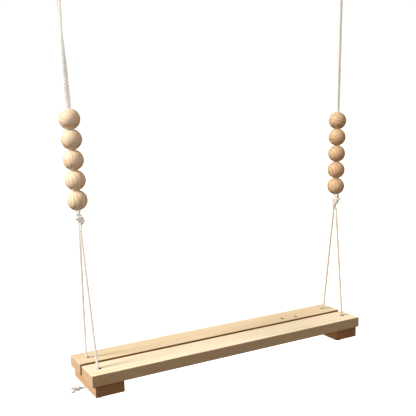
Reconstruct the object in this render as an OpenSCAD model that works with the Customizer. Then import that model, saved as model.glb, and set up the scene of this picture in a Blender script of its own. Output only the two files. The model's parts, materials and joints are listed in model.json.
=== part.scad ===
// Rope-hung plank swing: two planks on two battens, held at four holes by a knotted rope
// on each side, with five wooden beads on each rope and a steel fitting at each ceiling point.
// The origin is on the ceiling, midway between the two fittings. +X runs along the planks,
// -Y is the front of the seat and everything hangs below z = 0.

/* [Seat] */
// Length of each plank
plank_length = 1000; // [980:5:1020]
// Width of each plank
plank_width = 95; // [90:1:100]
// Thickness of each plank
plank_thickness = 35; // [28:1:40]
// Gap between the two planks
plank_gap = 16; // [10:1:20]
// Width of each batten under the planks
batten_width = 90; // [80:1:100]
// Thickness of each batten
batten_thickness = 35; // [28:1:36]
// Distance from a plank's end to the batten
batten_inset = 10; // [5:1:12]
// Distance from the seat's front and rear faces to a batten's ends
batten_setback = 4; // [0:1:8]
// Depth from the ceiling to the top of the seat
seat_drop = 1250; // [1248:1:1252]

/* [Rope] */
// Diameter of the rope
rope_d = 8; // [7:0.5:8]
// Diameter of the rope's holes through planks and battens
hole_d = 16; // [14:0.5:18]
// Distance from the middle of the seat to each hole, along the planks
hole_x = 462; // [460:1:464]
// Distance from the middle of the seat to each hole, across the planks
hole_y = 55; // [53:1:57]
// Diameter of the knots that gather a rope's two legs
gather_d = 30; // [26:1:30]
// Diameter of the stopper knots under the battens
stopper_d = 22; // [20:1:24]

/* [Beads] */
// Diameter of a bead
bead_d = 61; // [56:1:61]
// Bore of a bead, which the doubled rope runs through
bead_bore = 18; // [17.5:0.1:20]
// Distance from one bead's centre to the next
bead_pitch = 58.6; // [58.6:0.1:60]

/* [Ceiling fittings] */
// Distance from the middle of the swing to each fitting
hanger_x = 510; // [505:1:515]
// Width of a ceiling plate
plate_width = 44; // [40:1:50]
// Thickness of a ceiling plate
plate_thickness = 5; // [4:0.5:6]
// Distance between a plate's two screw holes
plate_hole_spacing = 72; // [66:1:80]
// Diameter of a plate's screw holes
plate_hole_d = 7; // [5:0.5:8]
// Diameter of the bar of the eye and of the link
bar_d = 8; // [7:0.5:8]
// Clear width inside the thimble that lines the rope's loop
thimble_bore = 18; // [17:1:18]

/* [Hidden] */

LEFT = -1;
RIGHT = 1;
FRONT = -1;
REAR = 1;

// Seat
seat_depth = 2 * plank_width + plank_gap;
plank_y = (plank_gap + plank_width) / 2;
batten_x = plank_length / 2 - batten_inset - batten_width / 2;
batten_length = seat_depth - 2 * batten_setback;
seat_bottom = seat_drop + plank_thickness + batten_thickness;

// Countersunk screws, driven up through the battens
screw_d = 5;
screw_head_d = 10;
screw_head_h = 3;
screw_length = 60;
screw_inset = 20;
screw_spread = 50;

// Ceiling fittings. Lengths along a rope are measured down from the bar of its eye
bend_r = 14;
rod_drop = 32;
link_r = 12;
link_straight = 16;
contact_gap = 0.3;
link_top = bar_d + contact_gap;
link_bottom = link_top - 2 * link_r - link_straight;
thimble_gap = 0.5;
thimble_centre = link_bottom - thimble_bore / 2 + bar_d / 2 + thimble_gap;
thimble_half_width = 5.5;
thimble_mouth = 3;
groove_gap = 0.5;
thimble_rim_r = 15;
loop_r = 16;
lean = atan((hanger_x - hole_x) / (seat_drop - rod_drop));

// Places on each rope, below the middle of its thimble
left_knot_drop = 736;
right_knot_drop = 763;
left_bead_drop = 684;
right_bead_drop = 715;
seizing_drop = 30;
seizing_length = 20;
seizing_wall = 1.2;
strand_x = 4.3;
fit_gap = 0.05;

// Each rope's doubled part, from the gather knot up round the thimble and down again.
// Points are across, forward and up from the middle of the thimble, for the rising strand
// and the top of the loop. The falling strand is the same turned half round.
loop_flare = [[4.3, 0, -52], [4.3, 0, -28], [5.1, 0, -22], [7.8, 0, -17.5], [11.4, 0, -13],
    [14.3, 0, -7.6]];
loop_arc = [for (a = [0 : 22.5 : 90]) [loop_r * cos(a), 0, loop_r * sin(a)]];
right_rise = concat([[4.3, 0, -747], [4.3, 0, -400]], loop_flare, loop_arc);
// The left rope's two strands change sides once on the way up
left_rise = concat([[-4.3, 0, -720], [-4.3, 0, -330], [-3.7, -2.1, -275], [-2.1, -3.7, -225],
    [0, -4.3, -180], [2.1, -3.7, -135], [3.7, -2.1, -95]], loop_flare, loop_arc);

// Each leg, from its stopper knot up through batten and plank to just under the gather knot.
// Points are out, inwards and up from the middle of the hole at the plank's top face
left_leg = [[0, 0, -76], [0, 0, -16], [0.1, 0.2, -4], [0.5, 1.2, 10], [1.2, 3.6, 30],
    [15.4, 48.5, 392], [16.3, 50.4, 412], [17, 50.9, 430]];
right_leg = [[0, 0, -76], [0, 0, -16], [0.1, 0.2, -4], [0.5, 1.3, 10], [1.2, 3.9, 30],
    [14.4, 48.3, 366], [15.3, 50.3, 385], [16, 50.9, 403]];

// The loose end that hangs out of one stopper knot, from the middle of the hole
tail_route = [[6, 0, -84], [12, 0, -90], [20, 1, -94], [30, 2, -96], [42, 5, -98], [56, 9, -99]];

rope_sides = 10;
$fn = 64;

function unit(v) = v / norm(v);

// Direction of the route at point i
function heading(route, i) =
    let (last = len(route) - 1)
    unit(route[min(i + 1, last)] - route[max(i - 1, 0)]);

// One ring of points round the route at point i
function ring(route, i, r) =
    let (t = heading(route, i), u = unit(cross(t, [0, 1, 0])), v = cross(t, u))
    [for (k = [0 : rope_sides - 1])
        let (a = 360 * k / rope_sides) route[i] + r * (cos(a) * u + sin(a) * v)];

// A rope of diameter d along a route
module rope_along(route, d) {
    n = rope_sides;
    last = len(route) - 1;
    points = [for (i = [0 : last]) each ring(route, i, d / 2)];
    sides = [for (i = [0 : last - 1]) for (k = [0 : n - 1])
        let (a = i * n + k, b = i * n + (k + 1) % n)
        each [[a, b, a + n], [b, b + n, a + n]]];
    foot = [[for (k = [n - 1 : -1 : 0]) k]];
    head = [[for (k = [0 : n - 1]) last * n + k]];
    polyhedron(points, concat(sides, foot, head));
}

// The children hang on one side's rope line, with z = 0 at the bar of the eye
module on_rope(side) {
    translate([side * hanger_x, 0, -rod_drop]) rotate([0, side * lean, 0]) children();
}

module plank(row) {
    color("burlywood") difference() {
        translate([-plank_length / 2, row * plank_y - plank_width / 2, -seat_drop - plank_thickness])
            cube([plank_length, plank_width, plank_thickness]);
        for (side = [LEFT, RIGHT]) {
            translate([side * hole_x, row * hole_y, -seat_drop - plank_thickness - 1])
                cylinder(d = hole_d, h = plank_thickness + 2);
            screws(side);
        }
    }
}

module batten(side) {
    color("peru") difference() {
        translate([side * batten_x - batten_width / 2, -batten_length / 2, -seat_bottom])
            cube([batten_width, batten_length, batten_thickness]);
        for (row = [FRONT, REAR])
            translate([side * hole_x, row * hole_y, -seat_bottom - 1])
                cylinder(d = hole_d, h = batten_thickness + 2);
        screws(side);
    }
}

module screw() {
    cylinder(d = screw_d, h = screw_length);
    cylinder(d1 = screw_head_d, d2 = screw_d, h = screw_head_h);
}

module screws(side) {
    color("silver")
        for (row = [FRONT, REAR]) for (across = [-1, 1])
            translate([side * (batten_x - screw_inset),
                row * plank_y + across * screw_spread / 2, -seat_bottom])
                screw();
}

module stopper_knot(side, row) {
    sink = sqrt(stopper_d * stopper_d - hole_d * hole_d) / 2;
    color("white") translate([side * hole_x, row * hole_y, -seat_bottom - sink]) {
        sphere(d = stopper_d);
        translate([0, 0, -stopper_d / 2 - 8]) cylinder(d = rope_d, h = 12);
    }
}

module rope_tail(side, row) {
    color("white") translate([side * hole_x, row * hole_y, -seat_drop])
        rope_along([for (p = tail_route) [side * p[0], -row * p[1], p[2]]], rope_d / 2);
}

module leg_rope(side, row) {
    route = side == LEFT ? left_leg : right_leg;
    color("white") translate([side * hole_x, row * hole_y, -seat_drop])
        rope_along([for (p = route) [side * p[0], -row * p[1], p[2]]], rope_d);
}

module gather_knot(side) {
    drop = side == LEFT ? left_knot_drop : right_knot_drop;
    color("white") on_rope(side) translate([0, 0, thimble_centre - drop])
        sphere(d = gather_d);
}

module upper_rope(side) {
    rise = side == LEFT ? left_rise : right_rise;
    fall = [for (i = [len(rise) - 2 : -1 : 0]) [-rise[i][0], -rise[i][1], rise[i][2]]];
    color("white") on_rope(side) translate([0, 0, thimble_centre])
        rope_along(concat(rise, fall), rope_d);
}

module stadium(half, r, h) {
    linear_extrude(height = h) {
        translate([-half, -r]) square([2 * half, 2 * r]);
        for (s = [-1, 1]) translate([s * half, 0]) circle(r = r);
    }
}

module seizing(side) {
    inner = rope_d / 2 + fit_gap;
    color("wheat") on_rope(side)
        translate([0, 0, thimble_centre - seizing_drop - seizing_length]) difference() {
            stadium(strand_x, inner + seizing_wall, seizing_length);
            translate([0, 0, -1]) stadium(strand_x, inner, seizing_length + 2);
        }
}

module thimble(side) {
    color("gainsboro") on_rope(side) translate([0, 0, thimble_centre]) rotate([90, 0, 0])
        rotate_extrude() difference() {
            translate([thimble_bore / 2, -thimble_half_width])
                square([thimble_rim_r - thimble_bore / 2, 2 * thimble_half_width]);
            translate([loop_r, 0]) circle(r = rope_d / 2 + groove_gap);
            for (s = [-1, 1]) translate([thimble_bore / 2, s * thimble_half_width])
                rotate(45) square(thimble_mouth * sqrt(2), center = true);
        }
}

// A half ring of bar in the XZ plane, open upwards
module bar_bend(r) {
    rotate([90, 0, 0]) rotate([0, 0, 180])
        rotate_extrude(angle = 180) translate([r, 0]) circle(d = bar_d);
}

module link(side) {
    bend_drop = link_top - link_r;
    color("silver") on_rope(side) rotate([0, 0, 90]) {
        translate([0, 0, bend_drop]) mirror([0, 0, 1]) bar_bend(link_r);
        translate([0, 0, bend_drop - link_straight]) bar_bend(link_r);
        for (s = [-1, 1]) translate([s * link_r, 0, bend_drop - link_straight])
            cylinder(d = bar_d, h = link_straight);
    }
}

module link_nut(side) {
    nut_length = 12;
    nut_d = 13;
    color("silver") on_rope(side)
        translate([0, -link_r, link_top - link_r - (link_straight + nut_length) / 2])
            difference() {
                cylinder(d = nut_d, h = nut_length, $fn = 6);
                translate([0, 0, -1]) cylinder(d = bar_d, h = nut_length + 2);
            }
}

module eye(side) {
    color("silver") translate([side * hanger_x, 0, bend_r - rod_drop]) {
        bar_bend(bend_r);
        for (s = [-1, 1]) translate([s * bend_r, 0, 0])
            cylinder(d = bar_d, h = rod_drop - bend_r - plate_thickness);
    }
}

module ceiling_plate(side) {
    color("silver") translate([side * hanger_x, 0, -plate_thickness]) difference() {
        rotate([0, 0, 90]) stadium(plate_hole_spacing / 2 - 4, plate_width / 2, plate_thickness);
        for (row = [FRONT, REAR]) translate([0, row * plate_hole_spacing / 2, -1])
            cylinder(d = plate_hole_d, h = plate_thickness + 2);
    }
}

module bead(side, place) {
    drop = side == LEFT ? left_bead_drop : right_bead_drop;
    color(side == LEFT ? "antiquewhite" : "tan") on_rope(side)
        translate([0, 0, thimble_centre - drop + (place - 1) * bead_pitch]) difference() {
            sphere(d = bead_d);
            cylinder(d = bead_bore, h = bead_d + 2, center = true);
        }
}

plank(FRONT);  // front_plank
plank(REAR);  // rear_plank
batten(LEFT);  // left_batten
batten(RIGHT);  // right_batten
screws(LEFT);  // left_batten_screws
screws(RIGHT);  // right_batten_screws
stopper_knot(LEFT, FRONT);  // left_front_stopper_knot
stopper_knot(LEFT, REAR);  // left_rear_stopper_knot
stopper_knot(RIGHT, FRONT);  // right_front_stopper_knot
stopper_knot(RIGHT, REAR);  // right_rear_stopper_knot
rope_tail(LEFT, REAR);  // left_rear_rope_tail
leg_rope(LEFT, FRONT);  // left_front_leg_rope
leg_rope(LEFT, REAR);  // left_rear_leg_rope
leg_rope(RIGHT, FRONT);  // right_front_leg_rope
leg_rope(RIGHT, REAR);  // right_rear_leg_rope
gather_knot(LEFT);  // left_gather_knot
gather_knot(RIGHT);  // right_gather_knot
upper_rope(LEFT);  // left_upper_rope
upper_rope(RIGHT);  // right_upper_rope
seizing(LEFT);  // left_seizing
seizing(RIGHT);  // right_seizing
thimble(LEFT);  // left_thimble
thimble(RIGHT);  // right_thimble
link(LEFT);  // left_link
link(RIGHT);  // right_link
link_nut(LEFT);  // left_link_nut
link_nut(RIGHT);  // right_link_nut
eye(LEFT);  // left_eye
eye(RIGHT);  // right_eye
ceiling_plate(LEFT);  // left_ceiling_plate
ceiling_plate(RIGHT);  // right_ceiling_plate
bead(LEFT, 1);  // left_bead_1
bead(LEFT, 2);  // left_bead_2
bead(LEFT, 3);  // left_bead_3
bead(LEFT, 4);  // left_bead_4
bead(LEFT, 5);  // left_bead_5
bead(RIGHT, 1);  // right_bead_1
bead(RIGHT, 2);  // right_bead_2
bead(RIGHT, 3);  // right_bead_3
bead(RIGHT, 4);  // right_bead_4
bead(RIGHT, 5);  // right_bead_5
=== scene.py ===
import json
import math

import bpy
import numpy as np
from mathutils import Euler, Matrix, Quaternion, Vector

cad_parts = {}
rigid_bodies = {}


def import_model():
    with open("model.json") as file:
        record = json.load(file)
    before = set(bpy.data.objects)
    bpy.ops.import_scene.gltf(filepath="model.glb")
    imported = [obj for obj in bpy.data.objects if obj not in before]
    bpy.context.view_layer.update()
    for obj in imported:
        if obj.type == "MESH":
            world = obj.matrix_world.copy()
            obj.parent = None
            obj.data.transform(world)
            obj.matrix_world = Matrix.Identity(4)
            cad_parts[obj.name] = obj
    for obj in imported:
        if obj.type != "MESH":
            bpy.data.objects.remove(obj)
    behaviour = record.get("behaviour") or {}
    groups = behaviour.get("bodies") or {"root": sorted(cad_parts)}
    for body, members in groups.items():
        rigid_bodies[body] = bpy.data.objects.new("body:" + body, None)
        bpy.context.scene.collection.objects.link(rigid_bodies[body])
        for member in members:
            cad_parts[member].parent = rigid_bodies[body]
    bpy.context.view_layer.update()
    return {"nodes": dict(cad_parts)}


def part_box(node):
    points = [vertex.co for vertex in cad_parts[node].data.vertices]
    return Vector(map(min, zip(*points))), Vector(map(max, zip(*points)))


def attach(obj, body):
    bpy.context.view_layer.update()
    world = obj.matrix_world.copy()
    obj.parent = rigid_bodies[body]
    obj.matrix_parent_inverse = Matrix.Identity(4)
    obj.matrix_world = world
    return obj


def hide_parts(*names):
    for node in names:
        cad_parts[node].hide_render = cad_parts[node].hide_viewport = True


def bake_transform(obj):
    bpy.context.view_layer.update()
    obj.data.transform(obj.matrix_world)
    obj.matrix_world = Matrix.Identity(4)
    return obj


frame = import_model()
scene = bpy.context.scene
print("frame loaded:", len(frame["nodes"]), "parts")


# Small helpers

def deselectAll():
    if bpy.context.mode != "OBJECT":
        bpy.ops.object.mode_set(mode="OBJECT")
    bpy.ops.object.select_all(action="DESELECT")


def pick(piece):
    deselectAll()
    piece.select_set(True)
    bpy.context.view_layer.objects.active = piece


def editMode(piece, selectMode="VERT", start="DESELECT"):
    pick(piece)
    bpy.ops.object.mode_set(mode="EDIT")
    bpy.ops.mesh.select_mode(type=selectMode)
    bpy.ops.mesh.select_all(action=start)


def selectWhere(piece, kind, test):
    # kind is "vertices", "edges" or "polygons"; test gets the element's middle and, for faces, its normal
    bpy.ops.object.mode_set(mode="OBJECT")
    mesh = piece.data
    for group in (mesh.vertices, mesh.edges, mesh.polygons):
        group.foreach_set("select", [False] * len(group))
    for item in getattr(mesh, kind):
        if kind == "vertices":
            item.select = bool(test(item.co))
        elif kind == "edges":
            a, b = (mesh.vertices[v].co for v in item.vertices)
            item.select = bool(test((a + b) / 2, (b - a).normalized()))
        else:
            item.select = bool(test(item.center, item.normal))
    bpy.ops.object.mode_set(mode="EDIT")


def place(piece, matrix):
    # moves the mesh itself, so the object stays at the origin
    pick(piece)
    piece.matrix_world = matrix @ piece.matrix_world
    bpy.ops.object.transform_apply(location=True, rotation=True, scale=True)


def applyAll(piece):
    pick(piece)
    for modifier in list(piece.modifiers):
        bpy.ops.object.modifier_apply(modifier=modifier.name)


def ownCopy(piece, name):
    twin = piece.copy()
    twin.data = piece.data.copy()
    twin.name = name
    twin.data.name = name
    scene.collection.objects.link(twin)
    return twin


def smooth(piece, degrees=35):
    pick(piece)
    bpy.ops.object.shade_smooth_by_angle(angle=math.radians(degrees))


# Camera, at a standing child's height in front of the seat's left end

camera = {
    "place": (-1.0536, -1.8375, -0.5258),
    "turn": -28.68,
    "down": 7.85,
    "tilt": -1.675,
    "lens": 56.47,
}
cameraData = bpy.data.cameras.new("swingCamera")
cameraData.lens = camera["lens"]
cameraData.sensor_width = 36
cameraData.clip_start = 0.05
cameraData.clip_end = 60
cameraObject = bpy.data.objects.new("swingCamera", cameraData)
scene.collection.objects.link(cameraObject)
cameraObject.location = camera["place"]
cameraObject.rotation_mode = "QUATERNION"
level = Euler((math.radians(90 - camera["down"]), 0, math.radians(camera["turn"])))
cameraObject.rotation_quaternion = (
    level.to_quaternion() @ Quaternion((0, 0, 1), math.radians(camera["tilt"])))
scene.camera = cameraObject
print("camera ready")


# Where things are. The ropes' lines start at the bars of the ceiling eyes

swing = {
    "hangerX": 0.510,
    "barDrop": 0.032,
    "holeX": 0.462,
    "holeY": 0.055,
    "seatTop": -1.250,
    "thimbleDrop": 0.0362,
    "leftKnotDrop": 0.736,
    "rightKnotDrop": 0.763,
    "beadPitch": 0.0586,
    "plankMiddle": 0.0555,
    "battenMiddle": 0.445,
}
sides = {"left": -1, "right": 1}
rows = {"front": -1, "rear": 1}
lean = math.atan((swing["hangerX"] - swing["holeX"]) / (-swing["seatTop"] - swing["barDrop"]))


def onRope(side, drop=0.0):
    # a frame that hangs on one side's rope line, drop below the bar of its eye
    sign = sides[side]
    return (Matrix.Translation((sign * swing["hangerX"], 0, -swing["barDrop"]))
            @ Matrix.Rotation(sign * lean, 4, "Y") @ Matrix.Translation((0, 0, -drop)))


# Ropes

rope = {
    "diameter": 0.008,
    "lay": 0.027,
    "strandRadius": 0.00186,
    "helixRadius": 0.00214,
    "lobeReach": 112,
    "lobePoints": 9,
    "step": 0.00115,
    "ease": 0.0022,
}

# Routes in metres from the middle of the thimble: up one side of the loop and over half its top
loopFlare = [(0.0043, -0.052), (0.0043, -0.028), (0.0051, -0.022), (0.0078, -0.0175),
             (0.0114, -0.013), (0.0143, -0.0076)]
loopFlare = [(x, 0, z) for x, z in loopFlare]
loopArc = [(0.016 * math.cos(a), 0, 0.016 * math.sin(a)) for a in np.radians([0, 22.5, 45, 67.5, 90])]
upperRises = {
    "left": [(-0.0043, 0, -0.690), (-0.0043, 0, -0.330), (-0.0037, -0.0021, -0.275),
             (-0.0021, -0.0037, -0.225), (0, -0.0043, -0.180), (0.0021, -0.0037, -0.135),
             (0.0037, -0.0021, -0.095)] + loopFlare + loopArc,
    "right": [(0.0043, 0, -0.715), (0.0043, 0, -0.400)] + loopFlare + loopArc,
}
# From a hole's middle at the seat's top: outwards, inwards over the seat and up
legRoutes = {
    "left": [(0.0004, 0.0004, -0.062), (0.0020, 0.0012, -0.022), (0.0029, 0.0022, -0.003)],
    "right": [(0.0003, 0.0004, -0.062), (0.0009, 0.0012, -0.022), (0.0014, 0.0022, -0.003)],
}


def evenly(points, step):
    points = np.array(points, float)
    along = np.concatenate([[0], np.cumsum(np.linalg.norm(np.diff(points, axis=0), axis=1))])
    places = np.linspace(0, along[-1], max(3, int(round(along[-1] / step)) + 1))
    return np.stack([np.interp(places, along, points[:, k]) for k in range(3)], axis=1)


def softened(points, step, width):
    # the same route with its corners eased over about width on each side
    line = evenly(points, step)
    reach = max(1, int(round(width / step)))
    weights = np.exp(-0.5 * (np.arange(-2 * reach, 2 * reach + 1) / reach) ** 2)
    weights /= weights.sum()
    first = 2 * line[0] - line[1:2 * reach + 1][::-1]
    last = 2 * line[-1] - line[-2 * reach - 1:-1][::-1]
    long = np.concatenate([first, line, last])
    eased = np.stack([np.convolve(long[:, k], weights, "valid") for k in range(3)], axis=1)
    return evenly(eased, step)


def framesAlong(line, start=(0, 1, 0)):
    # directions across the line that don't twist about it
    heads = np.gradient(line, axis=0)
    heads /= np.linalg.norm(heads, axis=1)[:, None]
    across = np.array(start, float)
    sideways = []
    for head in heads:
        across = across - head * across.dot(head)
        across /= np.linalg.norm(across)
        sideways.append(across.copy())
    sideways = np.array(sideways)
    return heads, sideways, np.cross(heads, sideways)


# Knots are tied open and then pulled tight, in millimetres

tying = {
    "gatherLoop": (13.0, 10.0, 4.2),
    "stopperLoop": (11.0, 8.0, 3.0),
    "twinGap": 8.8,
    "leftSpin": 0.6,
    "middleHeight": 3.5,
    "top": 28.0,
    "foot": -38.6,
    "pointStep": 3.6,
}


def openOverhand(width, depth, height):
    # a wide overhand knot that runs from the top down
    t = np.linspace(2.05, -2.05, 160)
    if height * (t[0] ** 5 - 10 * t[0]) < 0:
        t = -t
    x, y, z = t ** 3 - 3 * t, t ** 4 - 4 * t ** 2 + 2, t ** 5 - 10 * t
    return np.stack([width * x, depth * y, height * z], axis=1)


def pushApart(p, first, second, apart, free):
    # moves points of the ropes that are closer than apart away from each other; gives the deepest overlap
    between = p[second] - p[first]
    far = np.linalg.norm(between, axis=1)
    hit = far < apart
    if not hit.any():
        return 0
    push = (apart - far[hit])[:, None] * (between[hit] / np.maximum(far[hit], 1e-9)[:, None]) / 2
    move, count = np.zeros_like(p), np.zeros(len(p))
    for ends, way in ((first[hit], -push), (second[hit], push)):
        np.add.at(move, ends, way)
        np.add.at(count, ends, 1)
    p += 1.4 * move / np.maximum(count, 1)[:, None] * free[:, None]
    return (apart - far[hit]).max()


def keepLength(p, span, rest, free):
    # brings neighbouring points of one strand back to rest apart, every other pair at a time
    for parity in (0, 1):
        a = np.arange(span[0] + parity, span[1] - 1, 2)
        b = a + 1
        between = p[b] - p[a]
        far = np.linalg.norm(between, axis=1)
        fix = ((far - rest) / np.maximum(far, 1e-9) / np.maximum(free[a] + free[b], 1e-9))[:, None] * between
        p[a] += fix * free[a][:, None]
        p[b] -= fix * free[b][:, None]


def meanStep(points):
    return np.linalg.norm(np.diff(points, axis=0), axis=1).mean()


def tighten(strands, apart, rounds, stiff, shrink, slack):
    # draws rope out of every strand by its fixed ends until the knot holds
    sizes = [len(s) for s in strands]
    starts = np.cumsum([0] + sizes)
    spans = list(zip(starts[:-1], starts[1:]))
    p = np.concatenate(strands)
    strand = np.repeat(np.arange(len(sizes)), sizes)
    order = np.concatenate([np.arange(n) for n in sizes])
    rest = [meanStep(s) for s in strands]
    free = np.ones(len(p))
    for a, b in spans:
        free[a:a + 2] = free[b - 2:b] = 0
    i, j = np.triu_indices(len(p), 1)
    for turn in range(rounds):
        near = np.array([max(3, math.ceil(1.25 * apart / r)) for r in rest])[strand[i]]
        separate = (strand[i] != strand[j]) | (order[j] - order[i] > near)
        first, second = i[separate], j[separate]
        for pull in range(6):
            for a, b in spans:
                s = p[a:b]
                s[1:-1] += stiff * ((s[:-2] + s[2:]) / 2 - s[1:-1]) * free[a + 1:b - 1, None]
            overlap = pushApart(p, first, second, apart, free)
            for again in range(4):
                for span, length in zip(spans, rest):
                    keepLength(p, span, length, free)
        if overlap < slack * apart:
            loose = [k for k, (a, b) in enumerate(spans) if meanStep(p[a:b]) / rest[k] < 1.012]
            if not loose:
                break
            for k in loose:
                rest[k] *= shrink
    return [p[a:b].copy() for a, b in spans]


def roundedRoute(strand):
    return [tuple(float(c) for c in point) for point in evenly(strand, tying["pointStep"]).round(1)]


def tieTwins():
    # two ropes side by side through one overhand knot, pulled in from far off
    core = openOverhand(*tying["gatherLoop"])
    aside = framesAlong(core, (1, 0, 0))[1]
    strands = []
    for sign in (-1, 1):
        top = [(sign * 4.3, 0, 110), (sign * 4.3, 0, 106)]
        bottom = [(0, sign * 14, -106), (0, sign * 14.4, -110)]
        strands.append(evenly(np.concatenate([top, core + sign * tying["twinGap"] / 2 * aside, bottom]), 4.5))
    return tighten(strands, 7.5, 600, 0.35, 0.997, 0.09)


def gatherRoute(twins, side):
    # the tied twins turned for one side, led to their ends above and below, and pulled tight again
    around = np.concatenate(twins)
    around = around[np.abs(around[:, 2] - 1) < 14]
    middle = (around.min(0) + around.max(0)) / 2
    mirror, spin = ((-1, 1, 1), tying["leftSpin"]) if side == "left" else ((1, 1, 1), 0)
    c, s = math.cos(spin), math.sin(spin)
    turned = []
    for twin in twins:
        x, y, z = ((twin - (middle[0], middle[1], tying["middleHeight"])) * mirror).T
        turned.append(np.stack([x * c - y * s, x * s + y * c, z], axis=1))

    def ordered(height, axis):
        # which twin lies further to the low side of an axis at a height
        a, b = (t[np.argmin(np.abs(t[:, 2] - height)), axis] for t in turned)
        return (-1, 1) if a < b else (1, -1)

    strands = []
    for twin, above, below in zip(turned, ordered(22, 0), ordered(-30, 1)):
        body = twin[np.argmax(twin[:, 2] < 18):len(twin) - np.argmax(twin[::-1, 2] > -24)]
        top = [(above * 4.6, 0, tying["top"]), (above * 4.7, 0, tying["top"] - 2.6)]
        foot = [(0, below * 6.6, tying["foot"] + 2.6), (0, below * 6.9, tying["foot"])]
        strands.append(evenly(np.concatenate([top, body, foot]), 2.6))
    tight = tighten(strands, 7.2, 500, 0.22, 0.9985, 0.10)
    return [roundedRoute(strand) for strand in sorted(tight, key=lambda strand: strand[-1][1])]


def tieStopper():
    # one rope through an overhand knot, without the straight ends it was pulled by
    core = openOverhand(*tying["stopperLoop"])
    route = np.concatenate([[(0, 0, 90), (0, 0, 86)], core, [(0, 0, -86), (0, 0, -90)]])
    loose, = tighten([evenly(route, 4.0)], 7.4, 700, 0.35, 0.997, 0.09)
    tight, = tighten([evenly(loose, 2.6)], 7.1, 400, 0.25, 0.9985, 0.10)
    near = tight[np.argmax(tight[:, 2] < 22):len(tight) - np.argmax(tight[::-1, 2] > -24)]
    return roundedRoute(near)[4:-3]


twins = tieTwins()
# each gather knot has its front leg's rope first, from the top down
gatherRoutes = {side: gatherRoute(twins, side) for side in sides}
stopperRoute = tieStopper()


def meshFrom(name, points, faces, uvs=None):
    mesh = bpy.data.meshes.new(name)
    mesh.from_pydata([tuple(p) for p in points], [], faces)
    if uvs is not None:
        layer = mesh.uv_layers.new(name="alongRope")
        layer.data.foreach_set("uv", np.array(uvs, np.float32).ravel())
    # the triangles close the ends, and stay flat so that two lengths of one rope meet without a crease
    mesh.polygons.foreach_set("use_smooth", [len(face) > 3 for face in faces])
    mesh.update()
    made = bpy.data.objects.new(name, mesh)
    scene.collection.objects.link(made)
    return made


def ropeOutline():
    reach, count = math.radians(rope["lobeReach"]), rope["lobePoints"]
    outline = []
    for strand in range(3):
        middle = 2 * math.pi * strand / 3
        for a in np.linspace(-reach, reach, count):
            outline.append([rope["helixRadius"] * f(middle) + rope["strandRadius"] * f(middle + a)
                            for f in (math.cos, math.sin)])
    return np.array(outline)


def roundOutline(radius, sidesRound):
    a = np.arange(sidesRound) * 2 * math.pi / sidesRound
    return np.stack([radius * np.cos(a), radius * np.sin(a)], axis=1)


def skinAlong(line, sideA, sideB, outline, twist, lengths, widths=None):
    # one closed skin of the outline carried along the line; gives points, faces and rope places
    sidesRound, rings = len(outline), len(line)
    c, s = np.cos(twist)[:, None], np.sin(twist)[:, None]
    x = outline[:, 0] * c - outline[:, 1] * s
    y = outline[:, 0] * s + outline[:, 1] * c
    if widths is not None:
        x, y = x * widths[:, None], y * widths[:, None]
    points = line[:, None, :] + x[:, :, None] * sideA[:, None, :] + y[:, :, None] * sideB[:, None, :]
    points = np.concatenate([points.reshape(-1, 3), line[:1], line[-1:]])
    faces, uvs = [], []
    for i in range(rings - 1):
        here, there = i * sidesRound, (i + 1) * sidesRound
        for k in range(sidesRound):
            n = (k + 1) % sidesRound
            faces.append((here + k, here + n, there + n, there + k))
            v0, v1 = k / sidesRound * 3, (k + 1) / sidesRound * 3
            uvs += [(lengths[i], v0), (lengths[i], v1), (lengths[i + 1], v1), (lengths[i + 1], v0)]
    foot, head = rings * sidesRound, rings * sidesRound + 1
    for k in range(sidesRound):
        n = (k + 1) % sidesRound
        faces.append((foot, n, k))
        faces.append((head, (rings - 1) * sidesRound + k, (rings - 1) * sidesRound + n))
        uvs += [(0, 0)] * 6
    return points, faces, uvs


def joinSkins(name, skins):
    points, faces, uvs, base = [], [], [], 0
    for skinPoints, skinFaces, skinUvs in skins:
        points.append(skinPoints)
        faces += [tuple(v + base for v in face) for face in skinFaces]
        uvs += skinUvs
        base += len(skinPoints)
    return meshFrom(name, np.concatenate(points), faces, uvs)


def wholeRope(side):
    # the one rope of a side: from its front stopper knot up, round the thimble and down to the rear one
    sign = sides[side]
    knotDrop = swing["thimbleDrop"] + swing[side + "KnotDrop"]
    parts = {"upper": [onRope(side, swing["thimbleDrop"]) @ Vector(p) for p in (
        upperRises[side] + [(-x, -y, z) for x, y, z in upperRises[side][-2::-1]])]}
    for row, strand in zip(rows, gatherRoutes[side]):
        way = rows[row]
        parts["knot" + row] = [onRope(side, knotDrop) @ (Vector(p) / 1000) for p in strand]
        parts["leg" + row] = [
            Vector((sign * (swing["holeX"] + x), way * (swing["holeY"] - y), swing["seatTop"] + z))
            for x, y, z in legRoutes[side]]
        foot = stoppers[side + row]
        turn = Matrix.Rotation(math.radians(foot["turn"]), 4, "Z")
        into = turn @ Vector(stopperRoute[0]) / 1000
        place = Vector((sign * swing["holeX"], way * swing["holeY"], foot["height"]))
        place -= Vector((into.x, into.y, 0))
        knot = [place + turn @ Vector(p) / 1000 for p in stopperRoute]
        end = [knot[-1] + Vector(p) for p in foot["end"]]
        parts["stopper" + row] = knot + end
    marks, line = {}, []
    order = (("stopperfront", True), ("legfront", False), ("knotfront", True), ("upper", False),
             ("knotrear", False), ("legrear", True), ("stopperrear", False))
    for part, backwards in order:
        marks[part] = (len(line), len(line) + len(parts[part]) - 1)
        line += parts[part][::-1] if backwards else parts[part]
    corners = np.array(line)
    eased = softened(corners, rope["step"], rope["ease"])
    return eased, {part: (corners[first], corners[last]) for part, (first, last) in marks.items()}


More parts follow.
